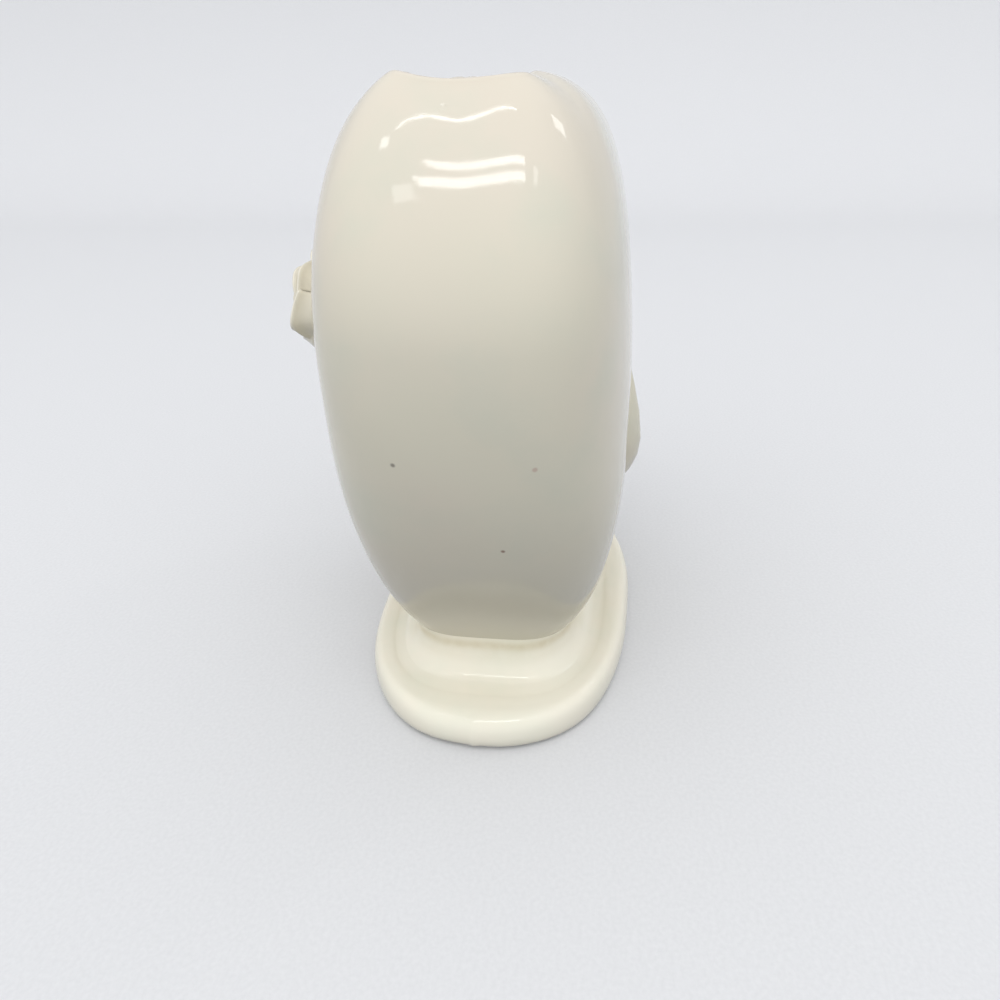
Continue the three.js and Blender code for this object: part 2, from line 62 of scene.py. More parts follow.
SPIGOT_HALF_WIDTH, SPIGOT_HALF_DEPTH, SPIGOT_LENGTH = 31.0, 18.0, 2.0

# Foot, as in the part's source
FOOT_HALF_LENGTH, FOOT_HALF_WIDTH, FOOT_FULLNESS = 70.5, 43.1, 2.46
BEAD_WIDTH, BEAD_HEIGHT, GROOVE_WIDTH, COLLAR_LEDGE = 9.0, 10.2, 8.0, 1.5
REST_RING_INSET, REST_RING_WIDTH, RECESS_SLOPE, RECESS_HEIGHT = 4.5, 8.0, 2.5, 5.0

# Rose, as in the part's source; spans are in degrees
ROSE_X, ROSE_Z, ROSE_TILT = 37.0, 119.3, 4.0
PETAL_THICKNESS = 1.1
BUD = {"radius": 0.8, "turns": 1.4, "growth": 0.27, "top": 9.4, "fall": 2.0}
INNER_PETALS = {"count": 3, "radius": 4.2, "growth": 0.7, "span": 150, "top": 8.8, "flare": 1.4}
OUTER_PETALS = {"count": 5, "radius": 7.2, "growth": 1.1, "span": 104, "top": 7.1, "flare": 3.0}

# Sprays, as in the part's source apart from the rear stem's last point and the rear end leaf. Places are
# shares of the belly's half width and of the crest's height, and a leaf starts at a share of its stem
LEAF_EDGE, LEAF_POINT, LEAF_WIDTH, LEAF_CROWN, LEAF_ROOT_FULLNESS = 1.4, 0.3, 17.0, 4.0, 0.02
LEAF_SKEW, LEAF_ROUNDNESS, CROWN_ROOT, CROWN_END = 0.8, 0.85, 0.12, 0.92
VEIN_WIDTH, VEIN_DEPTH = 0.16, 0.8
STEM_EDGE, STEM_ACROSS, STEM_BELOW = 0.4, 6.5, 10.5
FRONT_STEM = {"radius": 2.0, "rise": 3.0, "line": [(0.235, 0.509), (0.039, 0.404), (-0.157, 0.34)]}
FRONT_LEAVES = [
    {"name": "upper", "from": 0.37, "bend": (0.052, 0.603), "tip": (-0.235, 0.621),
     "width": 1.0, "crown": 1.0},
    {"name": "lower", "from": 0.54, "bend": (0.314, 0.445), "tip": (0.484, 0.369),
     "width": 0.82, "crown": 0.87},
    {"name": "end", "from": 1.0, "bend": (-0.314, 0.404), "tip": (-0.523, 0.427),
     "width": 0.88, "crown": 0.87},
]
REAR_STEM = {"radius": 1.6, "rise": 0.8, "line": [(-0.203, 0.27), (-0.108, 0.317), (0.03, 0.346)]}
REAR_LEAVES = [
    {"name": "end", "from": 1.0, "bend": (0.19, 0.415), "tip": (0.145, 0.572),
     "width": 0.88, "crown": 1.05},
    {"name": "upper", "from": 0.55, "bend": (-0.132, 0.417), "tip": (-0.311, 0.458),
     "width": 0.76, "crown": 0.6},
    {"name": "lower", "from": 0.2, "bend": (-0.275, 0.247), "tip": (-0.431, 0.288),
     "width": 0.65, "crown": 0.55},
]

# Hand-finished detail that only the glazed surface has. Rim: places run from 0 at the cleft to 1 at the
# narrow ends, and from -1 at the rear face to 1 at the front face
FRONT_WAVE, FRONT_WAVE_PLACE, REAR_WAVE, REAR_WAVE_PLACE, WAVE_SPREAD = 1.35, 0.78, 0.9, -0.75, 0.3
END_DIP, END_DIP_PLACE, END_DIP_SPREAD = 0.5, 0.06, 0.35
WAVE_START, WAVE_SPAN = 0.8, 0.2
FRONT_SAG, REAR_SAG, SAG_PLACE, SAG_SPREAD = 0.3, 0.5, 0.74, 0.1
LOBE_TILT, TILT_RISE, TILT_END, TILT_FALL = 0.6, 0.3, 0.62, 0.15
LIP_BLUSH, LIP_PLACE, LIP_SPREAD, LIP_LEAST = 1.2, 0.95, 0.4, 0.12
END_BLEND = 10

# Rows of the body's grid, the rounded corner of the cavity's floor and the glaze pooled there
OUTER_ROWS, LIP_ROWS, INNER_ROWS, CORNER_ROWS = 121, 25, 61, 9
CORNER_INSET, FLOOR_INSET, CORNER_POOL, FLOOR_POOL = 1.5, 4, 0.5, 0.3

# Body and foot: seam ridge, pooled glaze, painted shade (a darker tone) low on the body, glaze fillet, set of
# the foot
SEAM_RIDGE, SEAM_WIDTH = 0.45, 1.3
POOL_REACH, WAVY_REACH = 4.0, 12
PAINTED_LOW_SHADE, SHADE_TOP, SHADE_SPAN = 0.9, 95.0, 60.0
FILLET_RISE, FILLET_DROP, FILLET_POOL, SKIN = 3.2, 3.4, 0.25, 0.12
FOOT_TWIST, FOOT_SET_BACK = 1.8, 1.1
SOFT_GROOVE, SEAM_GAP, CREASE_OUT, CREASE_UP = 9.85, 0.3, 0.3, 0.1
COVE_PLACE, COVE_SPREAD, BEAD_LIFT_REACH = 3.2, 2.6, 6
FOOT_AROUND, FILLET_ROWS = 256, 19

# Slow waves of the faces: height, radians per millimetre along x, y and z, and start
FACE_WAVES = [(0.10, (0.061, 0.0, 0.047), 1.3), (0.08, (0.0, 0.083, -0.052), 0.7),
              (0.05, (0.13, 0.11, 0.094), 2.1), (0.03, (0.0, 0.21, 0.17), 0.4)]

# Waves round the foot: height, count and start
BEAD_WANDER = [(0.22, 3, 0.8), (0.15, 7, 2.0), (0.08, 11, 0.0)]
BEAD_LIFT = [(0.14, 2, 1.1), (0.11, 5, 0.3), (0.05, 9, 0.0)]
COVE_RIPPLE = [(0.07, 19, 0.4), (0.05, 31, 1.3)]

# Leaves and stems: depth sunk into the wall, glaze on top, teeth, side veins and soft ends
SINK, BED, LEAF_GLAZE_RISE, STEM_GLAZE_RISE = 0.5, 0.4, 0.2, 0.3
TOOTH_DEPTH, TOOTH_COUNT = 0.015, 6.5
BRANCH_HEIGHT, BRANCH_COUNT, BRANCH_SWEEP, BRANCH_POWER = 0.16, 5.5, 1.25, 6
LEAF_END, LEAF_END_POWER = 0.06, 0.55
LEAF_VEIN_POOL, LEAF_RIM_POOL, LEAF_RIM_START = 0.4, 0.4, 0.93
STEM_SWELL, STEM_SWELL_PACE, STEM_TAPER, STEM_LEAST = 0.08, 9, 0.04, 0.05
STEM_ROUNDING, STEM_POOL_START = 0.05, 0.8
LEAF_STEPS, LEAF_ACROSS, STEM_STEPS, STEM_ACROSS_STEPS = 64, 41, 72, 25

# Petals: rolled edge, width of the fold, root in the wall, thickness at the sides, root and edge, ruffles,
# pooled glaze and rows of points
ROLL, ROLL_POWER, FOLD_WIDTH, ROOT_LOWEST, ROOT_DEPTH = 0.55, 8, 0.15, -14.0, 1.3
SIDE_THIN, SIDE_POWER, ROOT_HALF, EDGE_HALF, FALL_POWER = 0.12, 10, 0.62, 0.45, 1.7
RUFFLE_COUNT, RUFFLE_OFFSET, PETAL_POOL, PETAL_POOL_REACH, PETAL_END_POOL = 3, 2.3, 0.4, 0.55, 0.5
PETAL_STEPS, BUD_STEPS, PETAL_ROWS, EDGE_ROWS = 49, 73, 15, 9

# Brightness of the sky at the horizon and overhead and of the glow that is added on the near side, the
# upward share of a direction at which the glow has fully set in, and the even brightness that is seen and
# mirrored
SKY_LOW, SKY_HIGH, SKY_NEAR, GLOW_FOOT, SKY_SEEN = 0.95, 1.15, 2.0, 0.4, 1.0

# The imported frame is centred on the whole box, so the body's middle plane lies a little behind the origin
SHIFT = (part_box("body_front_shell")[0][1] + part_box("body_rear_shell")[1][1]) / 2 / MM


def smooth(t):
    t = np.clip(t, 0, 1)
    return t * t * (3 - 2 * t)


def bell(value, middle, spread):
    return np.exp(-((value - middle) / spread) ** 2)


# Steps from 0 to 1 that are closer together at both ends
def eased(count):
    return (1 - np.cos(np.linspace(0, np.pi, count))) / 2


# Point of a curve from a to c that bends towards b
def arc(t, a, b, c):
    return (1 - t) ** 2 * a + 2 * (1 - t) * t * b + t * t * c


def waves_round(angles, waves):
    return sum(height * np.sin(count * angles + start) for height, count, start in waves)


def bezier(points, samples=300):
    t = np.linspace(0, 1, samples)[:, None]
    a, b, c, d = (np.array(p, float) for p in points)
    return (1 - t) ** 3 * a + 3 * (1 - t) ** 2 * t * b + 3 * (1 - t) * t * t * c + t ** 3 * d


FRONT_OUTLINE = np.vstack([
    bezier([(NECK_HALF_WIDTH, BODY_BOTTOM), (NECK_HALF_WIDTH, BODY_BOTTOM + NECK_RISE),
            (BELLY_HALF_WIDTH, BELLY_HEIGHT - BELLY_DROP), (BELLY_HALF_WIDTH, BELLY_HEIGHT)]),
    bezier([(BELLY_HALF_WIDTH, BELLY_HEIGHT), (BELLY_HALF_WIDTH, BELLY_HEIGHT + BELLY_RISE),
            (RIM_HALF_WIDTH + RIM_LEAN, CREST_HEIGHT - RIM_DROP), (RIM_HALF_WIDTH, CREST_HEIGHT)])[1:],
])
SIDE_OUTLINE = np.vstack([
    bezier([(NECK_HALF_DEPTH, BODY_BOTTOM), (NECK_HALF_DEPTH + NECK_SPREAD, BODY_BOTTOM + NECK_SPREAD_RISE),
            (FULL_HALF_DEPTH, FULL_DEPTH_HEIGHT - FULL_DEPTH_DROP), (FULL_HALF_DEPTH, FULL_DEPTH_HEIGHT)]),
    bezier([(FULL_HALF_DEPTH, FULL_DEPTH_HEIGHT), (FULL_HALF_DEPTH, FULL_DEPTH_HEIGHT + FULL_DEPTH_RISE),
            (RIM_HALF_DEPTH + SHOULDER_LEAN, CREST_HEIGHT - SHOULDER_DROP),
            (RIM_HALF_DEPTH, CREST_HEIGHT)])[1:],
])


def half_width(level):
    return np.interp(level, FRONT_OUTLINE[:, 1], FRONT_OUTLINE[:, 0])


def half_depth(level):
    return np.interp(level, SIDE_OUTLINE[:, 1], SIDE_OUTLINE[:, 0])


# Move from the outside of the wall, round the rim, to the inside of the wall, square to an outline
def wall_move(outline, level, turn):
    direction = np.gradient(outline, axis=0)
    direction /= np.linalg.norm(direction, axis=1, keepdims=True)
    across = np.interp(level, outline[:, 1], direction[:, 0])
    upward = np.interp(level, outline[:, 1], direction[:, 1])
    along = WALL / 2 * math.sin(turn)
    inwards = WALL / 2 * (1 - math.cos(turn))
    return across * along - upward * inwards, upward * along + across * inwards


# Waves of the hand-cut rim in millimetres: at the narrow ends, by the lobes' crests and from lobe to lobe
def rim_waves(place, front, lobe):
    end = smooth((place - WAVE_START) / WAVE_SPAN)
    waves = end * (FRONT_WAVE * bell(front, FRONT_WAVE_PLACE, WAVE_SPREAD)
                   + REAR_WAVE * bell(front, REAR_WAVE_PLACE, WAVE_SPREAD)
                   - END_DIP * bell(front, END_DIP_PLACE, END_DIP_SPREAD))
    crest = bell(place, SAG_PLACE, SAG_SPREAD)
    waves = waves - crest * (FRONT_SAG * np.maximum(front, 0) + REAR_SAG * np.maximum(-front, 0))
    between = smooth(place / TILT_RISE) * (1 - smooth((place - TILT_END) / TILT_FALL))
    return waves + LOBE_TILT * lobe * between * np.maximum(-front, 0)


# Real height of a point whose level would be reached at the crest of the lobes
def settled(level, place, front, lobe=0.0):
    soft = np.hypot(place, CLEFT_SOFTNESS) - CLEFT_SOFTNESS
    cleft = CLEFT_DEPTH * np.clip(1 - soft / CREST_PLACE, 0, 1) ** CLEFT_POWER
    end = END_DROP * smooth((place - END_PLACE) / (1 - END_PLACE))
    lean = np.where(front > 0, front * smooth((place - LIFT_PLACE) / LIFT_SPAN), front)
    rim = CREST_HEIGHT - cleft - end + FRONT_LIFT * lean + rim_waves(place, front, lobe)
    share = (rim - BODY_BOTTOM) / (CREST_HEIGHT - BODY_BOTTOM)
    return np.where(level <= BODY_BOTTOM, level, BODY_BOTTOM + (level - BODY_BOTTOM) * share)


def oval_depth(place):
    return (1 - place ** FULLNESS) ** (1 / FULLNESS)


# Distance of the front (side -1) or rear (side 1) outer face from the middle plane
def face_depth(x, z, side):
    low = np.full(np.shape(x), BODY_BOTTOM)
    high = np.full(np.shape(x), CREST_HEIGHT)
    for _ in range(40):
        level = (low + high) / 2
        place = np.minimum(np.abs(x) / half_width(level), 1)
        under = settled(level, place, -side * oval_depth(place), np.sign(x)) < z
        low = np.where(under, level, low)
        high = np.where(under, high, level)
    place = np.minimum(np.abs(x) / half_width(low), 1)
    return half_depth(settled(low, place, 0)) * oval_depth(place)


# Slow unevenness of hand-finished clay, the same on both sides of every joint
def unevenness(points):
    return sum(height * np.sin(points @ np.array(pace) + start) for height, pace, start in FACE_WAVES)


def oval(angles, fullness):
    c, s = np.cos(angles), np.sin(angles)
    reach = (np.abs(c) ** fullness + np.abs(s) ** fullness) ** (-1 / fullness)
    return c * reach, s * reach


# Mesh piece from points in millimetres about the body's middle plane
def mesh_piece(name, points, faces, material, nodes, values=None, loop_normals=None):
    mesh = bpy.data.meshes.new(name)
    moved = (np.asarray(points, float) + [0, SHIFT, 0]) * MM
    mesh.from_pydata(moved.tolist(), [], faces)
    for label, data in (values or {}).items():
        layer = mesh.attributes.new(label, "FLOAT", "POINT")
        layer.data.foreach_set("value", np.ascontiguousarray(data, np.float32))
    mesh.polygons.foreach_set("use_smooth", np.ones(len(mesh.polygons), bool))
    if loop_normals is not None:
        mesh.normals_split_custom_set(loop_normals)
    mesh.materials.append(material)
    piece = bpy.data.objects.new(name, mesh)
    bpy.context.scene.collection.objects.link(piece)
    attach(piece, "root")
    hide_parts(*nodes)


# Closed surface through rings of points, with a point in the middle of each end
def closed_loft(rings):
    rings = np.asarray(rings, float)
    rows, count = rings.shape[:2]
    points = np.vstack([rings.reshape(-1, 3), rings[0].mean(0), rings[-1].mean(0)])
    faces = []
    for row in range(rows - 1):
        for step in range(count):
            following = (step + 1) % count
            a, b = row * count + step, row * count + following
            faces.append((a, b, b + count, a + count))
    first, last = rows * count, rows * count + 1
    top = (rows - 1) * count
    for step in range(count):
        following = (step + 1) % count
        faces.append((first, following, step))
        faces.append((last, top + step, top + following))
    return points, faces


def signed_volume(points, faces):
    total = 0.0
    for face in faces:
        for i in range(1, len(face) - 1):
            total += np.dot(points[face[0]], np.cross(points[face[i]], points[face[i + 1]]))
    return total


def outward(points, faces):
    return faces if signed_volume(points, faces) > 0 else [tuple(reversed(f)) for f in faces]


# Sets a socket to a value, or links it to another node's output
def feed(tree, socket, value):
    if isinstance(value, bpy.types.NodeSocket):
        tree.links.new(value, socket)
    else:
        socket.default_value = value


def node(tree, kind, **sockets):
    made = tree.nodes.new(kind)
    for key, value in sockets.items():
        feed(tree, made.inputs[key], value)
    return made


def mix_colour(tree, factor, first, second):
    made = tree.nodes.new("ShaderNodeMix")
    made.data_type = "RGBA"
    for index, value in ((0, factor), (6, first), (7, second)):
        feed(tree, made.inputs[index], value)
    return made.outputs[2]


def ranged(tree, value, low, high, to_low, to_high):
    made = tree.nodes.new("ShaderNodeMapRange")
    tree.links.new(value, made.inputs["Value"])
    for key, number in (("From Min", low), ("From Max", high), ("To Min", to_low), ("To Max", to_high)):
        made.inputs[key].default_value = number
    return made.outputs["Result"]


def noise(tree, where, scale, detail):
    return node(tree, "ShaderNodeTexNoise", Vector=where, Scale=scale, Detail=detail).outputs["Fac"]


def combine(tree, operation, first, second):
    made = tree.nodes.new("ShaderNodeMath")
    made.operation = operation
    feed(tree, made.inputs[0], first)
    feed(tree, made.inputs[1], second)
    return made.outputs[0]


# Distance of the surface from a spot that is given in millimetres
def distance(tree, where, spot):
    made = tree.nodes.new("ShaderNodeVectorMath")
    made.operation = "DISTANCE"
    tree.links.new(where, made.inputs[0])
    made.inputs[1].default_value = [c * MM for c in spot]
    return made.outputs["Value"]


# 1 for what the camera sees, directly or mirrored, and 0 for light that falls on surfaces
def seen_rays(tree):
    path = tree.nodes.new("ShaderNodeLightPath").outputs
    mirrored = combine(tree, "MAXIMUM", path["Is Glossy Ray"], path["Is Transmission Ray"])
    return combine(tree, "MAXIMUM", path["Is Camera Ray"], mirrored)


# Colours of the glaze, as linear light
IVORY = (0.735, 0.700, 0.570, 1)
WARM_IVORY = (0.755, 0.690, 0.575, 1)
COOL_IVORY = (0.690, 0.680, 0.560, 1)
CREAM = (0.900, 0.865, 0.735, 1)
POOLED = (0.560, 0.470, 0.270, 1)
BLUSH = (0.600, 0.470, 0.400, 1)
# Painted shade: darker glaze colour that stands in for shading low on the body
PAINTED_SHADE_IVORY = (0.560, 0.530, 0.430, 1)
SPECK_BROWN = (0.200, 0.100, 0.055, 1)
SPECK_GREY = (0.180, 0.155, 0.125, 1)
SPECK_PINK = (0.500, 0.300, 0.240, 1)


# Layers of the glaze: attribute, tint, strength and the least share that its patches keep. The low layer is
# painted shade low on the body
GLAZE_LAYERS = (("pool", POOLED, 0.6, 0.55), ("thin", BLUSH, 0.6, 0.55), ("low", PAINTED_SHADE_IVORY, 0.9, 0.97))

# Noise of the glaze, by the metre, and the ranges of it that count
DRIFT_SCALE, CLOUD_SCALE, PATCH_SCALE, SPECK_SCALE = 16.0, 46.0, 210.0, 95.0
GLOSS_SCALE, BROAD_SCALE, PEEL_SCALE = 70.0, 75.0, 240.0
DRIFT_RANGE, CLOUD_RANGE, NOISE_RANGE = (0.35, 0.65), (0.48, 0.72), (0.3, 0.7)
CLOUD_STRENGTH = 0.8
SPECK_CHOICE, SPECK_REACH, SPECK_STRENGTH, SPECK_CORE = (0.955, 0.965), (0.012, 0.03), 0.55, 0.45
ROUGHNESS_RANGE, GLAZE_IOR, PEEL_HEIGHT = (0.04, 0.08), 1.52, 0.000014


# Thick glossy glaze: slow drifts of colour, pooled and thin places, painted shade low on the body, iron
# specks, faint orange peel
def glaze(name, base, warm, cool, specks=(), pits=(), waves=0.0):
    material = bpy.data.materials.new(name)
    material.use_nodes = True
    tree = material.node_tree
    shader = tree.nodes["Principled BSDF"]
    where = tree.nodes.new("ShaderNodeTexCoord").outputs["Object"]
    drift = ranged(tree, noise(tree, where, DRIFT_SCALE, 2.0), *DRIFT_RANGE, 0.0, 1.0)
    colour = mix_colour(tree, drift, base, warm)
    clouds = ranged(tree, noise(tree, where, CLOUD_SCALE, 4.0), *CLOUD_RANGE, 0.0, CLOUD_STRENGTH)
    colour = mix_colour(tree, clouds, colour, cool)
    for label, tint, strength, least in GLAZE_LAYERS:
        layer = tree.nodes.new("ShaderNodeAttribute")
        layer.attribute_name = label
        patchy = ranged(tree, noise(tree, where, PATCH_SCALE, 3.0), *NOISE_RANGE, least, 1.0)
        amount = combine(tree, "MULTIPLY", layer.outputs["Fac"], patchy)
        colour = mix_colour(tree, combine(tree, "MULTIPLY", amount, strength), colour, tint)
    cells = node(tree, "ShaderNodeTexVoronoi", Vector=where, Scale=SPECK_SCALE)
    chosen = tree.nodes.new("ShaderNodeSeparateColor")
    tree.links.new(cells.outputs["Color"], chosen.inputs[0])
    rare = ranged(tree, chosen.outputs[0], *SPECK_CHOICE, 0.0, 1.0)
    dot = ranged(tree, cells.outputs["Distance"], *SPECK_REACH, SPECK_STRENGTH, 0.0)
    colour = mix_colour(tree, combine(tree, "MULTIPLY", rare, dot), colour, SPECK_BROWN)
    for spot, radius, tint, strength in specks:
        away = distance(tree, where, spot)
        inside = ranged(tree, away, SPECK_CORE * radius * MM, radius * MM, strength, 0.0)
        colour = mix_colour(tree, inside, colour, tint)
    tree.links.new(colour, shader.inputs["Base Color"])
    gloss = ranged(tree, noise(tree, where, GLOSS_SCALE, 4.0), *NOISE_RANGE, *ROUGHNESS_RANGE)
    tree.links.new(gloss, shader.inputs["Roughness"])
    shader.inputs["IOR"].default_value = GLAZE_IOR
    broad = combine(tree, "MULTIPLY", noise(tree, where, BROAD_SCALE, 2.0), waves)
    height = combine(tree, "ADD", noise(tree, where, PEEL_SCALE, 2.0), broad)
    for spot, radius, depth in pits:
        hollow = ranged(tree, distance(tree, where, spot), 0.0, radius * MM, -depth, 0.0)
        height = combine(tree, "ADD", height, hollow)
    bump = node(tree, "ShaderNodeBump", Strength=1.0, Distance=PEEL_HEIGHT, Height=height)
    tree.links.new(bump.outputs["Normal"], shader.inputs["Normal"])
    return material


# Single specks of the body, with place, radius, tint and strength, and a pit in its lip, with place, radius
# and depth in heights of the orange peel
BODY_SPECKS = [((79.6, -13.4 + SHIFT, 95.1), 0.75, SPECK_GREY, 0.8),
               ((78.7, 17.6 + SHIFT, 94.6), 0.8, SPECK_PINK, 0.5),
               ((71.4, 9.2 + SHIFT, 68.9), 0.75, SPECK_BROWN, 0.8)]
BODY_PITS = [((61.4, -1.6 + SHIFT, 163.9), 0.9, 11.0)]
BODY_GLAZE = glaze("body_glaze", IVORY, WARM_IVORY, COOL_IVORY, BODY_SPECKS, BODY_PITS)
FOOT_GLAZE = glaze("foot_glaze", CREAM, (0.91, 0.855, 0.715, 1), (0.86, 0.845, 0.705, 1), waves=20.0)
PETAL_GLAZE = glaze("petal_glaze", CREAM, (0.80, 0.74, 0.61, 1), (0.76, 0.74, 0.62, 1))
LEAF_GLAZE = glaze("leaf_glaze", IVORY, WARM_IVORY, COOL_IVORY)

# Body: one fine ring grid from the underside over the outer wall and the lip to the cavity floor
AROUND = 224
ANGLES = 2 * np.pi * np.arange(AROUND) / AROUND


def body_grid():
    ox, oy = oval(ANGLES, FULLNESS)
    place, front = np.abs(ox), -oy
    rows, thin, pool, wavy = [], [], [], []

    def ring(level, turn):
        end_inwards, end_rise = wall_move(FRONT_OUTLINE, level, turn)
        seat = settled(level, place, 0)
        face_inwards, face_rise = wall_move(SIDE_OUTLINE, seat, turn)
        rise = face_rise + (end_rise - face_rise) * place ** END_BLEND
        z = settled(level, place, front, np.sign(ox)) + rise
        return half_width(level) + end_inwards, half_depth(seat) + face_inwards, z

    def add(a, b, z, thinness, pooled, wave):
        rows.append(np.stack([a * ox, b * oy, np.broadcast_to(z, ox.shape)], 1))
        thin.append(np.full(AROUND, thinness))
        pool.append(np.full(AROUND, pooled))
        wavy.append(wave)

    for share in (0.02, 1.0):
        add(SPIGOT_HALF_WIDTH * share, SPIGOT_HALF_DEPTH * share, BODY_BOTTOM - SPIGOT_LENGTH, 0, 0, 0)
    add(SPIGOT_HALF_WIDTH, SPIGOT_HALF_DEPTH, BODY_BOTTOM, 0, 0, 0)
    for level in BODY_BOTTOM + (CREST_HEIGHT - BODY_BOTTOM) * eased(OUTER_ROWS):
        near_lip = LIP_LEAST * float(smooth((level - CREST_HEIGHT + LIP_BLUSH) / LIP_BLUSH))
        pooled = float(smooth(1 - (level - BODY_BOTTOM) / POOL_REACH))
        add(*ring(level, 0.0), near_lip, pooled, float(smooth((level - BODY_BOTTOM) / WAVY_REACH)))
    for turn in np.linspace(0, np.pi, LIP_ROWS)[1:-1]:
        blush = LIP_LEAST + (1 - LIP_LEAST) * bell(turn, LIP_PLACE, LIP_SPREAD)
        add(*ring(CREST_HEIGHT, turn), blush, 0, math.cos(turn / 2) ** 2)
    cavity_floor = BODY_BOTTOM + FLOOR
    for level in CREST_HEIGHT + (cavity_floor - CREST_HEIGHT) * eased(INNER_ROWS):
        add(*ring(level, math.pi), 0, 0, 0)
    wall_end = ring(cavity_floor, math.pi)
    corner = wall_end[0] - CORNER_INSET, wall_end[1] - CORNER_INSET, cavity_floor
    flat = NECK_HALF_WIDTH - WALL - FLOOR_INSET, NECK_HALF_DEPTH - WALL - FLOOR_INSET, cavity_floor
    for t in np.linspace(0, 1, CORNER_ROWS)[1:]:
        a, b, z = (arc(t, wall_end[i], corner[i], flat[i]) for i in range(3))
        add(a, b, z, 0, CORNER_POOL * t, 0)
    for share in (0.75, 0.5, 0.25, 0.02):
        add(flat[0] * share, flat[1] * share, cavity_floor, 0, FLOOR_POOL, 0)
    return np.array(rows), np.array(thin), np.array(pool), np.array(wavy)


def grid_normals(grid):
    along = np.gradient(grid, axis=0)
    across = np.roll(grid, -1, 1) - np.roll(grid, 1, 1)
    normals = np.cross(across, along)
    return normals / np.maximum(np.linalg.norm(normals, axis=2, keepdims=True), 1e-9)


grid, thin, pool, wavy = body_grid()
normals = grid_normals(grid)
grid = grid + normals * (unevenness(grid) * wavy[:, None])[..., None]
normals = grid_normals(grid)


# One pressed half of the body, closed by a flat face on the parting plane
def body_half(name, slot_node, columns, parting):
    columns = np.asarray(columns) % AROUND
    part, shade = grid[:, columns], normals[:, columns]
    rows, count = part.shape[:2]
    points = part.reshape(-1, 3)
    faces = []
    for row in range(rows - 1):
        for step in range(count - 1):
            a = row * count + step
            faces.append((a, a + 1, a + count + 1, a + count))
    faces.append(tuple(range(count)))
    faces.append(tuple((rows - 1) * count + step for step in reversed(range(count))))
    near = [row * count for row in range(rows)]
    far = [row * count + count - 1 for row in reversed(range(rows))]
    faces.append(tuple(near + far))
    turned = outward(points, faces)
    flat_shade = shade.reshape(-1, 3)
    loops = []
    for index, face in enumerate(turned):
        if index == len(turned) - 1:
            loops.extend([parting] * len(face))
        else:
            loops.extend(tuple(flat_shade[i]) for i in face)
    # The low attribute is painted shade: it darkens the glaze towards the bottom of the body
    mesh_piece(name, points, turned, BODY_GLAZE, [slot_node],
               {"thin": thin[:, columns].ravel(), "pool": pool[:, columns].ravel(),
                "low": PAINTED_LOW_SHADE * smooth((SHADE_TOP - points[:, 2]) / SHADE_SPAN)}, loops)


HALF = AROUND // 2
body_half("glazed_rear_half", "body_rear_shell", range(0, HALF + 1), (0, -1, 0))
body_half("glazed_front_half", "body_front_shell", range(HALF, AROUND + 1), (0, 1, 0))


